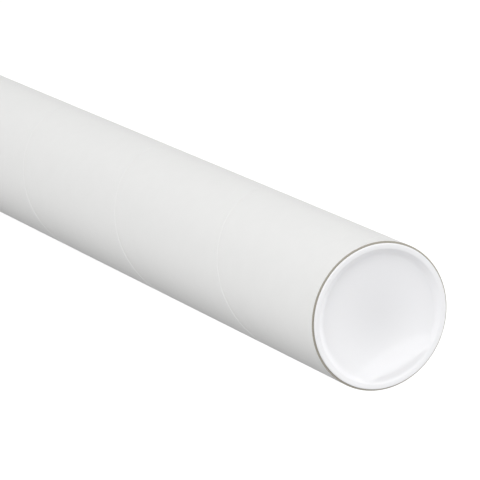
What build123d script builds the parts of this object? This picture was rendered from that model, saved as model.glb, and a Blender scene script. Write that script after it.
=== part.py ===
from build123d import *
import os

os.makedirs("parts", exist_ok=True)

# A round paperboard mailing tube that stands on its end, with a plastic plug in each end.
# The tube's axis is Z. Z = 0 is the face that the base cap stands on. Sizes are in millimetres.

# ---- Tube: one spiral-wound, glued paperboard wall, cut square at both ends ----
tube_bore = 76.2           # inside diameter, a 3 inch tube
tube_wall = 2.0            # thickness of the wound wall
tube_length = 609.6        # 24 inches between the cut ends
cut_edge_break = 0.15      # the saw leaves the corners of the cut ends slightly broken

# ---- Cap: one moulded plug, used at both ends ----
flange_inset = 0.95        # the flange stops this far short of the tube's outside
flange_thickness = 1.3     # how far the flange stands proud of the tube's end
flange_round = 0.5         # round on the flange's two outer edges
rim_width = 2.9            # flat ring between the flange's edge and the mouth of the recess
recess_depth = 2.3         # from the flange's face down to the edge of the floor
recess_slope_width = 2.8   # how far the sloping side of the recess comes in on its way down
mouth_round = 1.0          # round where the rim turns down into the recess
crease_round = 3.5         # round where the sloping side meets the floor
floor_dish = 1.3           # how much deeper the floor is at its centre
floor_thickness = 1.2      # wall of the floor
plug_length = 19.0         # how far the skirt reaches into the tube
skirt_wall = 1.2           # wall of the skirt
skirt_root_round = 1.0     # inside round where the skirt leaves the floor
skirt_tip_lead = 0.8       # lead-in chamfer that starts the skirt into the bore
rib_clearance = 0.05       # radial gap between a grip rib and the bore
rib_height = 0.45          # how far a grip rib stands out of the skirt
rib_width = 1.6            # width of a grip rib at its foot
rib_count = 3              # grip ribs along the skirt
first_rib_drop = 4.0       # from the flange's underside to the middle of the first rib
last_rib_rise = 4.5        # from the skirt's tip to the middle of the last rib

# ---- Sizes that follow ----
bore_radius = tube_bore / 2
tube_radius = bore_radius + tube_wall
flange_radius = tube_radius - flange_inset
mouth_radius = flange_radius - rim_width
crease_radius = mouth_radius - recess_slope_width
rib_radius = bore_radius - rib_clearance
skirt_radius = rib_radius - rib_height
skirt_bore_radius = skirt_radius - skirt_wall
floor_edge_z = flange_thickness - recess_depth
floor_centre_z = floor_edge_z - floor_dish
rib_spacing = (plug_length - first_rib_drop - last_rib_rise) / max(rib_count - 1, 1)

base_end_z = flange_thickness                # the tube's lower cut end
top_end_z = base_end_z + tube_length         # the tube's upper cut end


def make_tube():
    """The wound wall: a straight pipe with slightly broken corners at both cut ends."""
    section = Circle(tube_radius) - Circle(bore_radius)
    tube = Pos(0, 0, base_end_z) * extrude(section, tube_length)
    return chamfer(tube.edges().filter_by(GeomType.CIRCLE), cut_edge_break)


def dish_z(radius, centre_z, edge_radius, edge_z):
    """Height of a dished surface at a radius: the arc through its centre and its edge."""
    rise = edge_z - centre_z
    sphere = (edge_radius**2 + rise**2) / (2 * rise)
    return centre_z + sphere - (sphere**2 - radius**2) ** 0.5


def cap_section():
    """Half of the cap's section in the XZ plane, with the flange's underside at Z = 0."""
    under_centre_z = floor_centre_z - floor_thickness
    under_edge_z = dish_z(skirt_bore_radius, under_centre_z, crease_radius, floor_edge_z - floor_thickness)
    under_mid_radius = skirt_bore_radius / 2
    under_mid_z = dish_z(under_mid_radius, under_centre_z, crease_radius, floor_edge_z - floor_thickness)
    floor_mid_radius = crease_radius / 2
    floor_mid_z = dish_z(floor_mid_radius, floor_centre_z, crease_radius, floor_edge_z)

    def at(radius, z):
        return Vector(radius, 0, z)

    mouth = at(mouth_radius, flange_thickness)
    crease = at(crease_radius, floor_edge_z)
    flange_top = at(flange_radius, flange_thickness)
    flange_foot = at(flange_radius, 0)
    skirt_root = at(skirt_bore_radius, under_edge_z)
    outline = [
        ThreePointArc(at(0, floor_centre_z), at(floor_mid_radius, floor_mid_z), crease),
        Line(crease, mouth),
        Line(mouth, flange_top),
        Line(flange_top, flange_foot),
        Line(flange_foot, at(skirt_radius, 0)),
        Line(at(skirt_radius, 0), at(skirt_radius, skirt_tip_lead - plug_length)),
        Line(at(skirt_radius, skirt_tip_lead - plug_length), at(skirt_radius - skirt_tip_lead / 2, -plug_length)),
        Line(at(skirt_radius - skirt_tip_lead / 2, -plug_length), at(skirt_bore_radius, -plug_length)),
        Line(at(skirt_bore_radius, -plug_length), skirt_root),
        ThreePointArc(skirt_root, at(under_mid_radius, under_mid_z), at(0, under_centre_z)),
        Line(at(0, under_centre_z), at(0, floor_centre_z)),
    ]
    section = make_face(Wire(outline))

    def corner(point):
        return section.vertices().sort_by_distance(point)[0]

    edge_limit = 0.45 * flange_thickness
    section = fillet(corner(crease), crease_round)
    section = fillet(corner(mouth), mouth_round)
    section = fillet(corner(flange_top), min(flange_round, edge_limit))
    section = fillet(corner(flange_foot), min(flange_round, edge_limit))
    section = fillet(corner(skirt_root), skirt_root_round)
    return section


def rib_section(middle_z):
    """One grip rib: a low rounded bead whose foot is sunk into the skirt."""
    half = rib_width / 2
    foot_radius = skirt_radius - skirt_wall / 4
    lower = Vector(skirt_radius, 0, middle_z - half)
    crest = Vector(rib_radius, 0, middle_z)
    upper = Vector(skirt_radius, 0, middle_z + half)
    outline = [
        ThreePointArc(lower, crest, upper),
        Line(upper, Vector(foot_radius, 0, middle_z + half)),
        Line(Vector(foot_radius, 0, middle_z + half), Vector(foot_radius, 0, middle_z - half)),
        Line(Vector(foot_radius, 0, middle_z - half), lower),
    ]
    return make_face(Wire(outline))


def make_cap():
    """The plug, as it sits on an end whose cut face is at Z = 0, pushed in from above."""
    cap = revolve(cap_section(), Axis.Z)
    for index in range(rib_count):
        cap += revolve(rib_section(-first_rib_drop - index * rib_spacing), Axis.Z)
    return cap


cap = make_cap()
nodes = {
    "tube": make_tube(),
    "top_cap": Pos(0, 0, top_end_z) * cap,
    "base_cap": Pos(0, 0, base_end_z) * (Rot(180, 0, 0) * cap),
}

for name, shape in nodes.items():
    solid = shape.solids()[0]
    export_step(solid, f"parts/{name}.step")
    size = solid.bounding_box().size
    print(name, f"{size.X:.2f} x {size.Y:.2f} x {size.Z:.2f} mm, {solid.volume / 1000:.1f} cm3")
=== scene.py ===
# %% [markdown]
# # A cardboard mailing tube
#
# A mailing tube is three things: a pipe of paperboard, and a soft plastic plug in each end.
# The pipe is wound from long strips of paper, glued as they wrap round a steel bar, so the
# outside carries a spiral seam. The last strip is bleached white, and the cut ends show the
# grey-brown board underneath. Each plug is one polyethylene moulding with a dished face.
#
# The CAD frame is loaded first. It says how big everything is and which body each piece
# moves with, so every size below starts from it.

# %% Load the frame
import bpy
import math
from mathutils import Matrix, Vector


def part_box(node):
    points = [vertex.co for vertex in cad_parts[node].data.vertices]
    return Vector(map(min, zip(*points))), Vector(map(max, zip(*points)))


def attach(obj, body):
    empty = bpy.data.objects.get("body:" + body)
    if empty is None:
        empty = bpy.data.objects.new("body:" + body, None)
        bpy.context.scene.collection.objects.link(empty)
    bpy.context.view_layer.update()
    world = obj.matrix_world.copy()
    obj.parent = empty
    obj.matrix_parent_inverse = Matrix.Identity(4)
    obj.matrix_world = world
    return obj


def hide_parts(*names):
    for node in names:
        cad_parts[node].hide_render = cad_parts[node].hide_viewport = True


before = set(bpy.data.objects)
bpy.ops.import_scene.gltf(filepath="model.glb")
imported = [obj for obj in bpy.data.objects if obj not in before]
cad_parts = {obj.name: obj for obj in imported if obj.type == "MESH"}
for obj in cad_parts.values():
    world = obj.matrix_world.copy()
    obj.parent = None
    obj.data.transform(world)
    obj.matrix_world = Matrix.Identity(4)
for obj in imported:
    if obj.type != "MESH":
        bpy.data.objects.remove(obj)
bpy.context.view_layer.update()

# %% [markdown]
# ## Sizes
#
# Blender works in metres, and paper and plastic are easier to think about in millimetres, so
# `MM` turns one into the other. The tube's radius and the heights of its two cut ends come
# from the tube's box, and the plug's outer sizes from the cap's box. What a box can't say,
# such as the wall or the width of the rim, is written here once.

# %% Sizes that the frame gives, and the ones it can't
MM = 0.001
HAIR = 0.001 * MM          # nearer than this, two points are the same one

tube_low, tube_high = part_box("tube")
cap_low, cap_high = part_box("top_cap")

TUBE_RADIUS = tube_high.x
BASE_END = tube_low.z
TOP_END = tube_high.z
WALL = 2.0 * MM
BORE_RADIUS = TUBE_RADIUS - WALL

FLANGE_RADIUS = cap_high.x
FLANGE_THICKNESS = cap_high.z - TOP_END
PLUG_LENGTH = TOP_END - cap_low.z

print("tube radius", TUBE_RADIUS, "ends", BASE_END, TOP_END)
print("flange radius", FLANGE_RADIUS, "thickness", FLANGE_THICKNESS, "plug", PLUG_LENGTH)

# %% [markdown]
# ## Helpers for modelling
#
# An operator works on everything that is selected, and the frame arrives selected, so each
# piece starts from `fresh_point`: it clears the selection, adds a small plane and merges it
# to one vertex. `extrude_to` then pulls that vertex from place to place, which traces the
# section of a turned piece the way it is drawn by hand. `select_where` picks vertices by
# their place, because in a script there is no mouse to click them with.

# %% Helpers that trace and select
ROUND_STEPS = 160          # sides of everything round: smooth at this size, and not heavy
HARD_CORNER = math.radians(40)     # a corner sharper than this stays hard when shaded


def fresh_point(name, radius, height):
    """A new object of one vertex, in edit mode, at a radius and height in the XZ plane."""
    bpy.ops.object.select_all(action="DESELECT")
    bpy.ops.mesh.primitive_plane_add(size=1 * MM, location=(0, 0, 0))
    piece = bpy.context.object
    piece.name = name
    bpy.ops.object.mode_set(mode="EDIT")
    bpy.ops.mesh.select_mode(type="VERT")
    bpy.ops.mesh.merge(type="CENTER")
    bpy.ops.transform.translate(value=(radius, 0, height))
    return piece


def extrude_to(start, points):
    """Pull the selected vertex from start through each (radius, height) point in turn."""
    at = start
    for point in points:
        step = (point[0] - at[0], 0, point[1] - at[1])
        bpy.ops.mesh.extrude_region_move(TRANSFORM_OT_translate={"value": step})
        at = point


def select_where(piece, keep, kind="VERT"):
    """Select the vertices of a piece, or its faces, whose place passes a test."""
    bpy.ops.object.mode_set(mode="EDIT")
    bpy.ops.mesh.select_mode(type=kind)
    bpy.ops.mesh.select_all(action="DESELECT")
    bpy.ops.object.mode_set(mode="OBJECT")
    if kind == "VERT":
        for vertex in piece.data.vertices:
            vertex.select = bool(keep(vertex.co))
    else:
        for face in piece.data.polygons:
            face.select = bool(keep(face.center))
    bpy.ops.object.mode_set(mode="EDIT")


def sweep(piece, rise=0.0, turns=1):
    """Sweep the traced line round Z with a Screw modifier, and apply it."""
    bpy.ops.object.mode_set(mode="OBJECT")
    screw = piece.modifiers.new("sweep", "SCREW")
    screw.steps = ROUND_STEPS
    screw.render_steps = ROUND_STEPS
    screw.screw_offset = rise
    screw.iterations = turns
    screw.use_merge_vertices = rise == 0
    screw.merge_threshold = HAIR
    screw.use_smooth_shade = True
    bpy.ops.object.modifier_apply(modifier="sweep")


def close_and_face_out(piece):
    """Merge the seam and the poles, and turn every face outwards."""
    bpy.ops.object.mode_set(mode="EDIT")
    bpy.ops.mesh.select_all(action="SELECT")
    bpy.ops.mesh.remove_doubles(threshold=2 * HAIR)
    bpy.ops.mesh.normals_make_consistent(inside=False)
    bpy.ops.object.mode_set(mode="OBJECT")


def shade_by_angle(piece):
    """Shade a piece smooth, but leave its hard corners hard."""
    bpy.ops.object.select_all(action="DESELECT")
    piece.select_set(True)
    bpy.context.view_layer.objects.active = piece
    bpy.ops.object.shade_smooth_by_angle(angle=HARD_CORNER)


# %% [markdown]
# ## The tube's outside: a strip that winds up the tube
#
# The outer ply is a strip 118 mm wide. Wound edge to edge, it climbs one pitch for each
# turn, and the steepness follows from the strip's width alone: unrolled, one turn is a
# triangle with the tube's circumference as one side and the pitch as the other, and the
# strip's width is that triangle's height. A cylinder with a bump map would look the same
# from afar, but the notch at the cut end and the glint along the side need a real step. So
# the line that is swept is one pitch tall, and the Screw modifier winds it up the tube until
# the turns cover it. The strip's edge is a small hard step that faces up, and above it the
# paper comes back out to the full radius over a few millimetres.
#
# Under the white ply the next plies have seams of their own. They telegraph through as
# low, wide dips, so the line also has two of those on its way up.
#
# Smooth shading spreads the turn at a corner as far as the next point. So a point stands
# close by on the flat side of every corner, and the long faces between stay flat and even.

# %% Pitch of the winding
PLY_WIDTH = 118 * MM
CIRCUMFERENCE = 2 * math.pi * TUBE_RADIUS
PLY_SLOPE = math.asin(PLY_WIDTH / CIRCUMFERENCE)
PITCH = CIRCUMFERENCE * math.tan(PLY_SLOPE)
print(f"the ply climbs {math.degrees(PLY_SLOPE):.1f} degrees and {PITCH / MM:.1f} mm a turn")

# %% The swept line
STEP_DEPTH = 0.12 * MM     # about the thickness of the outer paper
STEP_WIDTH = 0.08 * MM
LAP_WIDTH = 3.0 * MM       # the paper above the step comes back out over this width
DIP_HALF_WIDTH = 2.2 * MM
DIP_DEPTH = 0.03 * MM
DIP_PLACES = (0.36, 0.69)  # shares of the pitch where the seams of the under plies lie
# A dip's points: half widths from its middle, and shares of its depth.
DIP_SHAPE = ((-2, 0), (-1, 0), (-0.5, 0.5), (0, 1), (0.5, 0.5), (1, 0), (2, 0))
LAP_STEPS = 4


def wound_line(radius, depth, dips):
    """Points of one pitch of wall: the lap above a step, dips, and the next step's edge."""
    points = []
    for n in range(LAP_STEPS + 1):
        sink = depth * (1 - n / LAP_STEPS) ** 2
        points.append((radius - sink, LAP_WIDTH * n / LAP_STEPS))
    points.append((radius, 1.5 * LAP_WIDTH))
    for place in dips:
        for offset, sink in DIP_SHAPE:
            points.append((radius - sink * DIP_DEPTH, place * PITCH + offset * DIP_HALF_WIDTH))
    points += [(radius, PITCH - 10 * STEP_WIDTH), (radius, PITCH - STEP_WIDTH)]
    points.append((radius - depth, PITCH))
    return points


# %% Wind the outside of the tube
SEAM_ANGLE = math.radians(-50)     # round Z, where a seam is 103.5 mm below the top end
SEAM_DROP = 103.5 * MM
TURNS = math.ceil((TOP_END - BASE_END) / PITCH) + 2    # a turn to spare past each end


def wind(name, radius, depth, dips, seam_height):
    """Sweep one wound line up the whole tube, with a seam at a height on the +X side."""
    start = seam_height - math.ceil((seam_height - BASE_END) / PITCH + 1) * PITCH
    line = [(r, z + start) for r, z in wound_line(radius, depth, dips)]
    piece = fresh_point(name, *line[0])
    extrude_to(line[0], line[1:])
    sweep(piece, rise=PITCH, turns=TURNS)
    return piece


outer_seam_height = TOP_END - SEAM_DROP - SEAM_ANGLE / (2 * math.pi) * PITCH
tube = wind("tube_wall", TUBE_RADIUS, STEP_DEPTH, DIP_PLACES, outer_seam_height)
print("outside wound with", len(tube.data.polygons), "faces in", TURNS, "turns")

# %% [markdown]
# ## The bore, and the two cut ends
#
# The bore is wound the same way from an unbleached strip, whose seam lies elsewhere. Both
# skins run past the ends, are joined into one object, and are then cut square with `bisect`,
# as the saw cuts a long winding into tubes. The open rims are drawn up and in for the small
# break that the saw leaves on the corner, and bridged across the board between them. The
# corner is a hard one, so the tube is shaded smooth by angle: shaded smooth all over, the
# light on the wall would bend towards the end.

# %% Wind the bore and join the skins
BORE_SEAM_LEAD = 0.47 * PITCH      # the bore's seam lies about opposite the outside's

# The bore's step goes outwards, into the wall, so that the plug's ribs still fit.
bore = wind("bore_wall", BORE_RADIUS, -STEP_DEPTH, (), outer_seam_height + BORE_SEAM_LEAD)
bpy.ops.object.select_all(action="DESELECT")
bore.select_set(True)
tube.select_set(True)
bpy.context.view_layer.objects.active = tube
bpy.ops.object.join()
close_and_face_out(tube)
print("two skins joined:", len(tube.data.polygons), "faces")

# %% Saw the two ends square
EDGE_BREAK = 0.15 * MM
ENDS = ((BASE_END, BASE_END + EDGE_BREAK, False), (TOP_END, TOP_END - EDGE_BREAK, True))

for _, height, upward in ENDS:
    bpy.ops.object.mode_set(mode="EDIT")
    bpy.ops.mesh.select_all(action="SELECT")
    bpy.ops.mesh.bisect(
        plane_co=(0, 0, height),
        plane_no=(0, 0, 1),
        clear_inner=not upward,
        clear_outer=upward,
        threshold=HAIR,
    )
bpy.ops.object.mode_set(mode="OBJECT")
print("sawn to", [round(v[2] / MM, 2) for v in tube.bound_box[:2]])

# %% Draw the open rims in
MIDDLE_RADIUS = (TUBE_RADIUS + BORE_RADIUS) / 2
NEAR = 1 * MM              # a point this near an end belongs to it


def select_open_edges(piece, keep):
    """Select the open edges of a piece whose middle passes a test."""
    bpy.ops.object.mode_set(mode="EDIT")
    bpy.ops.mesh.select_mode(type="EDGE")
    bpy.ops.mesh.select_all(action="DESELECT")
    bpy.ops.mesh.select_non_manifold()
    bpy.ops.object.mode_set(mode="OBJECT")
    mesh = piece.data
    open_edges = [edge for edge in mesh.edges if edge.select]
    mesh.vertices.foreach_set("select", [False] * len(mesh.vertices))
    for edge in open_edges:
        first, last = (mesh.vertices[index] for index in edge.vertices)
        edge.select = bool(keep((first.co + last.co) / 2))
        if edge.select:
            first.select = last.select = True
    bpy.ops.object.mode_set(mode="EDIT")


def on_rim(height, outside):
    """A test for the rim near a cut end, on the outer or the inner skin."""
    def test(place):
        far_out = math.hypot(place.x, place.y) > MIDDLE_RADIUS
        return abs(place.z - height) < NEAR and far_out == outside
    return test


def draw_rim(rise, radius, new_radius):
    """Extrude the selected rim by a rise, and draw it from one radius to another."""
    share = new_radius / radius
    bpy.ops.mesh.extrude_edges_move(TRANSFORM_OT_translate={"value": (0, 0, rise)})
    bpy.ops.transform.resize(value=(share, share, 1), center_override=(0, 0, 0))


for end, height, _ in ENDS:
    for outside, radius, toward in ((True, TUBE_RADIUS, -1), (False, BORE_RADIUS, 1)):
        select_open_edges(tube, on_rim(end, outside))
        draw_rim(end - height, radius, radius + toward * EDGE_BREAK)
print("rims drawn in:", len(tube.data.vertices), "vertices")

# %% Bridge the board between the two rims
for end, _, _ in ENDS:
    select_open_edges(tube, lambda place: abs(place.z - end) < NEAR)
    bpy.ops.mesh.bridge_edge_loops(number_cuts=4, interpolation="LINEAR")
close_and_face_out(tube)
shade_by_angle(tube)
print("tube closed with", len(tube.data.polygons), "faces")

# %% [markdown]
# ## The plug: one section, turned
#
# The plug comes out of a mould that was turned on a lathe, so it is made the same way: half
# of its section is traced, its corners are rounded, and the line is swept once round. The
# trace starts on the axis in the middle of the dished face, runs out over the rim and the
# flange, down the ribbed skirt, and back along the underside to the axis.
#
# A vertex bevel rounds a corner on a bare line. It asks how far to cut back along each side,
# and a designer thinks in radii, so `round_corner` measures the corner and works it out.

# %% Sizes of the plug
RIM_WIDTH = 2.9 * MM
RIM_LEAN = 0.15 * MM               # how far the soft rim dips towards the mouth
RECESS_DEPTH = 2.3 * MM
RECESS_SLOPE_WIDTH = 2.8 * MM
FLOOR_DISH = 1.3 * MM
FLOOR_THICKNESS = 1.2 * MM
SKIRT_WALL = 1.2 * MM
RIB_CLEARANCE = 0.05 * MM
RIB_HEIGHT = 0.45 * MM
RIB_WIDTH = 1.6 * MM
RIB_DROPS = (4.0 * MM, 9.25 * MM, 14.5 * MM)       # from the flange's underside
# A rib's points: shares of its width along the skirt, and of its height.
RIB_SHAPE = ((-0.5, 0), (-0.25, 0.75), (0, 1), (0.25, 0.75), (0.5, 0))
SKIRT_TIP_LEAD = 0.8 * MM          # chamfer that starts the skirt into the bore
CREASE_ROUND = 3.5 * MM
MOUTH_ROUND = 1.0 * MM
FLANGE_ROUND = 0.5 * MM
SKIRT_ROOT_ROUND = 1.0 * MM
SKIRT_TIP_ROUND = 0.3 * MM

MOUTH_RADIUS = FLANGE_RADIUS - RIM_WIDTH
CREASE_RADIUS = MOUTH_RADIUS - RECESS_SLOPE_WIDTH
RIB_RADIUS = BORE_RADIUS - RIB_CLEARANCE
SKIRT_RADIUS = RIB_RADIUS - RIB_HEIGHT
SKIRT_BORE = SKIRT_RADIUS - SKIRT_WALL
FLANGE_FACE = TOP_END + FLANGE_THICKNESS
FLOOR_EDGE = FLANGE_FACE - RECESS_DEPTH
FLOOR_CENTRE = FLOOR_EDGE - FLOOR_DISH
SKIRT_TIP = TOP_END - PLUG_LENGTH
print("skirt radius", SKIRT_RADIUS, "recess", MOUTH_RADIUS, "to", CREASE_RADIUS)


def dish(radius, drop=0.0):
    """Height of the dished floor at a radius, or of its underside at a drop."""
    return FLOOR_CENTRE + FLOOR_DISH * (radius / CREASE_RADIUS) ** 2 - drop


def recess_slope(share):
    """A point on the recess's sloping side, at a share of the way from floor to mouth."""
    radius = CREASE_RADIUS + share * RECESS_SLOPE_WIDTH
    return radius, FLOOR_EDGE + share * (RECESS_DEPTH - RIM_LEAN)


# %% Trace the section
FLOOR_RINGS = 9


def plug_section():
    """The plug's half section from the centre of its face, round, to the centre beneath."""
    points = [(CREASE_RADIUS * n / FLOOR_RINGS, 0) for n in range(FLOOR_RINGS + 1)]
    points = [(radius, dish(radius)) for radius, _ in points]
    points += [recess_slope(0.6), recess_slope(1), (FLANGE_RADIUS, FLANGE_FACE)]
    points += [(FLANGE_RADIUS, TOP_END), (SKIRT_RADIUS, TOP_END)]
    for drop in RIB_DROPS:
        for along, out in RIB_SHAPE:
            points.append((SKIRT_RADIUS + out * RIB_HEIGHT, TOP_END - drop - along * RIB_WIDTH))
    points.append((SKIRT_RADIUS, SKIRT_TIP + SKIRT_TIP_LEAD))
    points.append((SKIRT_RADIUS - SKIRT_TIP_LEAD / 2, SKIRT_TIP))
    points.append((SKIRT_BORE, SKIRT_TIP))
    under = [SKIRT_BORE * n / FLOOR_RINGS for n in range(FLOOR_RINGS, -1, -1)]
    points += [(radius, dish(radius, FLOOR_THICKNESS)) for radius in under]
    return points


section = plug_section()
top_plug = fresh_point("top_plug", *section[0])
extrude_to(section[0], section[1:])
bpy.ops.object.mode_set(mode="OBJECT")
print("section traced through", len(section), "points")

# %% Round its corners
def round_corner(piece, radius, height, round_radius, segments=6):
    """Round the corner of a traced line that is nearest to a place."""
    place = Vector((radius, 0, height))
    corner = min(piece.data.vertices, key=lambda v: (v.co - place).length)
    arms = []
    for edge in piece.data.edges:
        if corner.index in edge.vertices:
            other = [i for i in edge.vertices if i != corner.index][0]
            arms.append(piece.data.vertices[other].co - corner.co)
    turn = math.pi - arms[0].angle(arms[1])
    cut_back = round_radius * math.tan(turn / 2)
    at = corner.co.copy()
    select_where(piece, lambda co: (co - at).length < HAIR)
    bpy.ops.mesh.bevel(
        offset=cut_back, offset_type="OFFSET", segments=segments, affect="VERTICES"
    )
    bpy.ops.object.mode_set(mode="OBJECT")


round_corner(top_plug, CREASE_RADIUS, FLOOR_EDGE, CREASE_ROUND, segments=10)
round_corner(top_plug, MOUTH_RADIUS, FLANGE_FACE, MOUTH_ROUND)
round_corner(top_plug, FLANGE_RADIUS, FLANGE_FACE, FLANGE_ROUND)
round_corner(top_plug, FLANGE_RADIUS, TOP_END, FLANGE_ROUND)
skirt_root = dish(SKIRT_BORE, FLOOR_THICKNESS)
round_corner(top_plug, SKIRT_BORE, skirt_root, SKIRT_ROOT_ROUND, segments=4)
round_corner(top_plug, SKIRT_BORE, SKIRT_TIP, SKIRT_TIP_ROUND, segments=3)
print("rounded to", len(top_plug.data.vertices), "points")

# %% Turn the plug, and turn a copy over for the base
sweep(top_plug)
close_and_face_out(top_plug)
shade_by_angle(top_plug)

bpy.ops.object.select_all(action="DESELECT")
top_plug.select_set(True)
bpy.context.view_layer.objects.active = top_plug
bpy.ops.object.duplicate(linked=False)
base_plug = bpy.context.object
base_plug.name = "base_plug"
base_plug.rotation_euler = (math.pi, 0, 0)
base_plug.location = (0, 0, BASE_END + TOP_END)
bpy.ops.object.transform_apply(location=True, rotation=True, scale=True)
print("plugs turned, with", len(top_plug.data.polygons), "faces each")

# %% [markdown]
# ## A fold in the upper plug
#
# The plug is a shade too wide for its tube, and polyethylene this thin gives. On one side the
# rim has buckled inwards, and its inner edge runs straight there, along a chord of the round
# mouth. `bisect` cuts lines across the recess for the top and the foot of the straight wall,
# so that they come out as straight as a fold does, and the points are then raised to it.

# %% Cut the lines of the fold
FOLD_AZIMUTH = math.radians(50)
FOLD_DISTANCE = 29.3 * MM          # from the axis to the straight edge
FOLD_RUN = 6.0 * MM                # how far in its wall takes to drop by the recess's depth
FOLD_DROP = 0.25 * MM              # how far the edge lies below the flange's face
FOLD_FALL = 0.03                   # how steeply the flat behind the edge drops outwards
FOLD_BLEND = 0.4 * MM              # how softly the fold runs into what is round it
FOLD_LINES = (-1.5 * FOLD_RUN, -1.25 * FOLD_RUN, -FOLD_RUN, -FOLD_BLEND, 0, FOLD_BLEND)
fold_out = Vector((math.cos(FOLD_AZIMUTH), math.sin(FOLD_AZIMUTH), 0))


def in_recess(place):
    """A test for what lies on the recess's floor or side, and not on the plug's underside."""
    out = math.hypot(place.x, place.y)
    return out < MOUTH_RADIUS + FOLD_BLEND and place.z > dish(out, FLOOR_THICKNESS / 2)


for line in FOLD_LINES:
    select_where(top_plug, in_recess, "FACE")
    bpy.ops.mesh.bisect(
        plane_co=(FOLD_DISTANCE + line) * fold_out, plane_no=fold_out, threshold=HAIR
    )
bpy.ops.object.mode_set(mode="OBJECT")
print("fold lines cut:", len(top_plug.data.polygons), "faces")

# %% Raise the fold
def soft_max(first, second):
    """The higher of two heights, with the corner between them softly filled."""
    near = max(FOLD_BLEND - abs(first - second), 0)
    return max(first, second) + near * near / (4 * FOLD_BLEND)


def fold_height(place):
    """Height of the fold: a straight wall up to the edge, and a flat that falls behind it."""
    beyond = place.dot(fold_out) - FOLD_DISTANCE
    edge = FLANGE_FACE - FOLD_DROP
    wall = edge + beyond * (RECESS_DEPTH / FOLD_RUN)
    flat = edge - beyond * FOLD_FALL
    return -soft_max(-wall, -flat)


raised = 0
for point in top_plug.data.vertices:
    if in_recess(point.co):
        before = point.co.z
        point.co.z = soft_max(before, fold_height(point.co))
        raised += point.co.z > before
shade_by_angle(top_plug)
print("fold raised by", raised, "points")

# %% [markdown]
# ## Materials
#
# Colours are written as the hex values a colour picker shows, which are sRGB, and Blender
# wants linear light, so one function turns them. `add` makes a node, sets its properties and
# its sockets, and links it, which keeps each material down to the few lines that are
# particular to it. Every pattern reads Object coordinates, which are metres on the piece
# itself, so a pattern's scale is one over its real size, and it stays put in every pose.

# %% Helpers for materials
def linear(hex_colour):
    """An sRGB hex colour such as "E8E6E1" as linear RGBA."""
    channels = [int(hex_colour[i : i + 2], 16) / 255 for i in (0, 2, 4)]
    bright = [c / 12.92 if c <= 0.04045 else ((c + 0.055) / 1.055) ** 2.4 for c in channels]
    return (*bright, 1.0)


def add(tree, kind, inputs=None, **properties):
    """Add a node, set its properties, and set or link each named input."""
    node = tree.nodes.new(kind)
    for name, value in properties.items():
        setattr(node, name, value)
    for name, value in (inputs or {}).items():
        if isinstance(value, bpy.types.NodeSocket):
            tree.links.new(value, node.inputs[name])
        else:
            node.inputs[name].default_value = value
    return node


def new_material(name):
    """An empty material, its tree, its output and its object coordinates."""
    material = bpy.data.materials.new(name)
    material.use_nodes = True
    tree = material.node_tree
    tree.nodes.clear()
    output = add(tree, "ShaderNodeOutputMaterial")
    place = add(tree, "ShaderNodeTexCoord").outputs["Object"]
    return material, tree, output, place


# %% [markdown]
# ### The white outer ply
#
# The outside is bleached kraft liner, uncoated: matt, a very little cloudy where the fibres
# lie thick and thin, and with a fine tooth. Two noises at real sizes give that, and unlike a
# scan of paper they never repeat. The tooth is drawn at 0.5 mm, coarser than real fibres,
# because those are too fine to show.

# %% White outer ply
def make_bleached_liner():
    """Bleached liner: matt white, and so even that its clouds only just show."""
    cloud_width = 9 * MM
    fibre_width = 0.5 * MM
    material, tree, output, place = new_material("bleached_kraft_liner")
    cloud = add(
        tree, "ShaderNodeTexNoise", {"Vector": place, "Scale": 1 / cloud_width, "Detail": 3}
    )
    tone = add(tree, "ShaderNodeMix", {"Factor": cloud.outputs["Fac"]}, data_type="RGBA")
    tone.inputs["A"].default_value = linear("E9E9E8")
    tone.inputs["B"].default_value = linear("ECECEB")
    fibre = add(
        tree, "ShaderNodeTexNoise", {"Vector": place, "Scale": 1 / fibre_width, "Detail": 4}
    )
    tooth = add(
        tree, "ShaderNodeBump",
        {"Height": fibre.outputs["Fac"], "Strength": 0.25, "Distance": 0.03 * MM},
    )
    shader = add(
        tree, "ShaderNodeBsdfPrincipled",
        {
            "Base Color": tone.outputs["Result"],
            "Roughness": 0.62,
            "Specular IOR Level": 0.35,
            "Normal": tooth.outputs["Normal"],
        },
    )
    tree.links.new(shader.outputs["BSDF"], output.inputs["Surface"])
    return material


# %% [markdown]
# ### The cut board
#
# The wall's core is grey-brown chipboard, and its ends are sawn across: plies of about
# 0.4 mm with a darker line of glue between them, and a rough face that throws light every
# way. A Wave texture in rings about Z draws the plies where the winding put them, with no
# geometry. The outer paper is bleached on its face only, so the cut is brown right out to
# the corner, and it draws a dark ring round the end of a white tube.

# %% Cut board
def make_cut_board():
    """Sawn chipboard: rough, grey-brown, with fine rings of glue."""
    ply = 0.4 * MM
    speck_width = 0.4 * MM
    material, tree, output, place = new_material("cut_chipboard")
    glue = add(
        tree, "ShaderNodeTexWave",
        {"Vector": place, "Scale": 2 * math.pi / (20 * ply), "Distortion": 0.6, "Detail": 2},
        wave_type="RINGS", rings_direction="Z",
    )
    speck = add(
        tree, "ShaderNodeTexNoise", {"Vector": place, "Scale": 1 / speck_width, "Detail": 4}
    )
    board = add(tree, "ShaderNodeMix", {"Factor": speck.outputs["Fac"]}, data_type="RGBA")
    board.inputs["A"].default_value = linear("A6A197")
    board.inputs["B"].default_value = linear("C1BDB2")
    tone = add(
        tree, "ShaderNodeMix",
        {"Factor": glue.outputs["Fac"], "A": linear("9A968B"), "B": board.outputs["Result"]},
        data_type="RGBA",
    )
    shader = add(
        tree, "ShaderNodeBsdfPrincipled",
        {"Base Color": tone.outputs["Result"], "Roughness": 0.9, "Specular IOR Level": 0.2},
    )
    tree.links.new(shader.outputs["BSDF"], output.inputs["Surface"])
    return material


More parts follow.
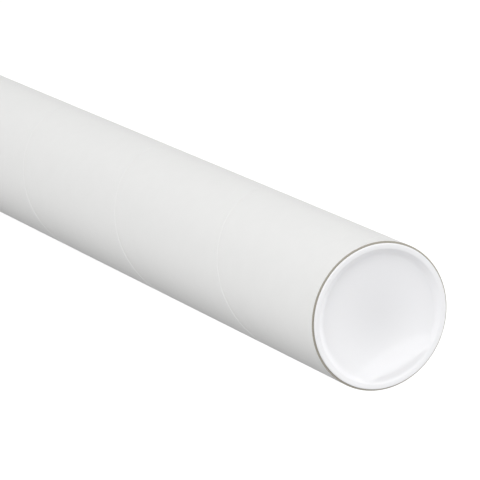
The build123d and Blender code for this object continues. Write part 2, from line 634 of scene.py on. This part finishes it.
# %% [markdown]
# ### The bore's liner
#
# Nobody prints on the inside, so it is left unbleached: the brown kraft that the mill makes,
# matt and cloudier than the white sheet. It shows only when a plug is out, and then in
# shadow, so its colour and its clouds are enough.

# %% Bore liner
def make_bore_liner():
    """Unbleached liner: matt brown kraft, unevenly clouded."""
    cloud_width = 6 * MM
    material, tree, output, place = new_material("unbleached_kraft_liner")
    cloud = add(
        tree, "ShaderNodeTexNoise", {"Vector": place, "Scale": 1 / cloud_width, "Detail": 4}
    )
    tone = add(tree, "ShaderNodeMix", {"Factor": cloud.outputs["Fac"]}, data_type="RGBA")
    tone.inputs["A"].default_value = linear("A58A68")
    tone.inputs["B"].default_value = linear("B79B78")
    shader = add(
        tree, "ShaderNodeBsdfPrincipled",
        {"Base Color": tone.outputs["Result"], "Roughness": 0.8, "Specular IOR Level": 0.25},
    )
    tree.links.new(shader.outputs["BSDF"], output.inputs["Surface"])
    return material


# %% [markdown]
# ### The plug's plastic
#
# The plug is low-density polyethylene, injection moulded: milky, a little waxy, with the
# satin that the mould was blasted to. A little subsurface light gives the milkiness. The
# thin floor also lets some light through into the dark tube behind it, so its middle looks a
# shade greyer than the part near the skirt. Tracing that light would be slow and noisy, so
# that shade is painted instead: the base colour fades from grey at the axis to white.

# %% Plug plastic
def make_polyethylene():
    """Moulded polyethylene: milky white with a satin skin, and painted shade greyer towards the
    axis.
    """
    painted_shade_radius = 30 * MM            # from here out, the floor is as white as the rim
    satin_width = 0.7 * MM
    material, tree, output, place = new_material("moulded_polyethylene")
    across = add(
        tree, "ShaderNodeVectorMath", {0: place, 1: (1, 1, 0)}, operation="MULTIPLY"
    )
    radius = add(
        tree, "ShaderNodeVectorMath", {0: across.outputs["Vector"]}, operation="LENGTH"
    )
    # Painted shade: the base colour is greyer near the axis and white from 30 mm out, for the
    # light the thin floor loses into the tube.
    painted_shade_fade = add(
        tree, "ShaderNodeMapRange",
        {"Value": radius.outputs["Value"], "From Min": 0.0, "From Max": painted_shade_radius},
        interpolation_type="SMOOTHSTEP",
    )
    tone = add(
        tree, "ShaderNodeMix",
        {"Factor": painted_shade_fade.outputs["Result"], "A": linear("E2E2E4"), "B": linear("EBEBED")},
        data_type="RGBA",
    )
    satin = add(
        tree, "ShaderNodeTexNoise", {"Vector": place, "Scale": 1 / satin_width, "Detail": 2}
    )
    skin = add(
        tree, "ShaderNodeBump",
        {"Height": satin.outputs["Fac"], "Strength": 0.15, "Distance": 0.02 * MM},
    )
    shader = add(
        tree, "ShaderNodeBsdfPrincipled",
        {
            "Base Color": tone.outputs["Result"],
            "Roughness": 0.35,
            "IOR": 1.51,
            "Subsurface Weight": 0.15,
            "Subsurface Radius": (1.0, 0.95, 0.9),
            "Subsurface Scale": 0.8 * MM,
            "Normal": skin.outputs["Normal"],
        },
    )
    tree.links.new(shader.outputs["BSDF"], output.inputs["Surface"])
    return material


# %% [markdown]
# ### Which surface gets which
#
# The tube is one mesh with three finishes, so each face is given a material by its place:
# board on the cut ends and their broken corners, white liner outside, brown liner inside.

# %% Give each surface its material
for make_finish in (make_bleached_liner, make_cut_board, make_bore_liner):
    tube.data.materials.append(make_finish())
OUTSIDE, CUT_END, INSIDE = range(3)    # their places in the tube's list

for face in tube.data.polygons:
    if not BASE_END + EDGE_BREAK < face.center.z < TOP_END - EDGE_BREAK:
        face.material_index = CUT_END
    elif math.hypot(face.center.x, face.center.y) > MIDDLE_RADIUS:
        face.material_index = OUTSIDE
    else:
        face.material_index = INSIDE

plastic = make_polyethylene()
for plug in (top_plug, base_plug):
    plug.data.materials.clear()
    plug.data.materials.append(plastic)
print("materials:", [material.name for material in bpy.data.materials])

# %% [markdown]
# ## Put each piece on its body
#
# The tube and the two plugs each ride on their own CAD body, and stand for the CAD node of
# the same size, which is hidden and stays in the physics.

# %% Ride on the frame
for piece, node, slot in (
    (tube, "tube", "paperboard"),
    (top_plug, "top_cap", "cap_plastic"),
    (base_plug, "base_cap", "cap_plastic"),
):
    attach(piece, node)
    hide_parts(node)
    print(piece.name, "rides on", node)

# %% [markdown]
# ## The studio
#
# A white tube on a white floor is seen only by its shading. So the light comes from all
# round, as in a paper tent, but less of it reaches one side, and that side's edge goes grey.
# The tent is a ring of four lamps low down, all round the tube, and two high ones for the
# plug's face. They are Sun lamps with a wide disc: a Sun's light is as strong at one end of
# the tube as at the other and all over the floor, and a wide disc keeps its shadows soft.
#
# The floor glows a little, so that it stays white right up to the tube. A white floor would
# also light the tube's underside and shine in the plug, which would flatten the shading, so
# it is hidden from the diffuse and glossy rays, and the lamps alone light the object. The
# backdrop is a white shell all round, for the low views that look past the floor's far edge.
# It is there for the eye only, and throws no light and no shadow.

# %% Floor
FLOOR_SIZE = 30.0          # metres

bpy.ops.object.select_all(action="DESELECT")
bpy.ops.mesh.primitive_plane_add(size=FLOOR_SIZE, location=(0, 0, 0))
floor = bpy.context.object
floor.name = "floor"
floor_material, floor_tree, floor_output, _ = new_material("white_paper_sweep")
floor_shader = add(
    floor_tree, "ShaderNodeBsdfPrincipled",
    {
        "Base Color": linear("FAFAFA"),
        "Roughness": 0.9,
        "Specular IOR Level": 0.1,
        "Emission Color": linear("FFFFFF"),
        "Emission Strength": 0.15,
    },
)
floor_tree.links.new(floor_shader.outputs["BSDF"], floor_output.inputs["Surface"])
floor.data.materials.append(floor_material)
floor.visible_diffuse = False
floor.visible_glossy = False

# %% Backdrop
BACKDROP_RADIUS = 0.7 * FLOOR_SIZE     # out to the floor's corners

bpy.ops.object.select_all(action="DESELECT")
bpy.ops.mesh.primitive_uv_sphere_add(radius=BACKDROP_RADIUS, location=(0, 0, 0))
backdrop = bpy.context.object
backdrop.name = "backdrop"
backdrop_material, backdrop_tree, backdrop_output, _ = new_material("white_backdrop")
backdrop_glow = add(
    backdrop_tree, "ShaderNodeEmission", {"Color": linear("FFFFFF"), "Strength": 1.0}
)
backdrop_tree.links.new(backdrop_glow.outputs["Emission"], backdrop_output.inputs["Surface"])
backdrop_material.cycles.emission_sampling = "NONE"    # or it would be sampled as a lamp
backdrop.data.materials.append(backdrop_material)
backdrop.visible_diffuse = False
backdrop.visible_glossy = False
backdrop.visible_transmission = False
backdrop.visible_shadow = False
print("floor", FLOOR_SIZE, "m wide, backdrop", BACKDROP_RADIUS, "m away")

# %% World and lamps
TENT_GLOW = 0.21           # light that comes evenly from everywhere
LAMP_SPREAD = 38           # how wide a lamp looks from the tube, in degrees
LOW = 10                   # elevations of the ring and of the pair above it, in degrees
HIGH = 62

world = bpy.data.worlds.new("tent")
bpy.context.scene.world = world
world.use_nodes = True
background = world.node_tree.nodes["Background"]
background.inputs["Color"].default_value = (1, 1, 1, 1)
background.inputs["Strength"].default_value = TENT_GLOW


def soft_lamp(name, azimuth, elevation, strength):
    """A wide lamp far off. A white face turned to it is as bright as its strength."""
    lamp_data = bpy.data.lights.new(name, "SUN")
    lamp_data.angle = math.radians(LAMP_SPREAD)
    lamp_data.energy = strength * math.pi
    lamp = bpy.data.objects.new(name, lamp_data)
    bpy.context.scene.collection.objects.link(lamp)
    flat = math.cos(math.radians(elevation))
    toward = Vector((
        flat * math.cos(math.radians(azimuth)),
        flat * math.sin(math.radians(azimuth)),
        math.sin(math.radians(elevation)),
    ))
    lamp.rotation_euler = toward.to_track_quat("Z", "Y").to_euler()


soft_lamp("front_lamp", 252, LOW, 0.72)
soft_lamp("left_lamp", 180, LOW, 0.46)
soft_lamp("right_lamp", 324, LOW, 0.32)
soft_lamp("back_lamp", 108, LOW, 0.29)
soft_lamp("top_lamp", 120, HIGH, 0.35)
soft_lamp("top_fill", 0, HIGH, 0.16)

# Standard shows a white as it is. The default, AgX, would grey it like film.
bpy.context.scene.view_settings.view_transform = "Standard"
print("lamps:", [lamp.name for lamp in bpy.data.lights])

# %% [markdown]
# ## The camera
#
# The camera looks down on the upper end of the tube from far off through a long lens, tilted
# away from the axis so that the wall shows too, and rolled so that the tube runs back to the
# upper left.

# %% Camera
CAMERA_TILT = math.radians(29.43)      # between the line of sight and the tube's axis
CAMERA_ROLL = math.radians(114.3)
CAMERA_DISTANCE = 46.595 * TUBE_RADIUS
CAMERA_LENS = 268.4
AIM_RIGHT = -1.821 * TUBE_RADIUS
AIM_UP = 0.992 * TUBE_RADIUS

turn = Matrix.Rotation(CAMERA_TILT, 3, "X") @ Matrix.Rotation(CAMERA_ROLL, 3, "Z")
right, up, back = turn.col[0], turn.col[1], turn.col[2]
top_centre = Vector((0, 0, TOP_END))
camera_data = bpy.data.cameras.new("camera")
camera_data.lens = CAMERA_LENS
camera = bpy.data.objects.new("camera", camera_data)
bpy.context.scene.collection.objects.link(camera)
camera.location = top_centre + AIM_RIGHT * right + AIM_UP * up + CAMERA_DISTANCE * back
camera.rotation_euler = turn.to_euler()
bpy.context.scene.camera = camera
print("camera at", [round(v, 3) for v in camera.location])
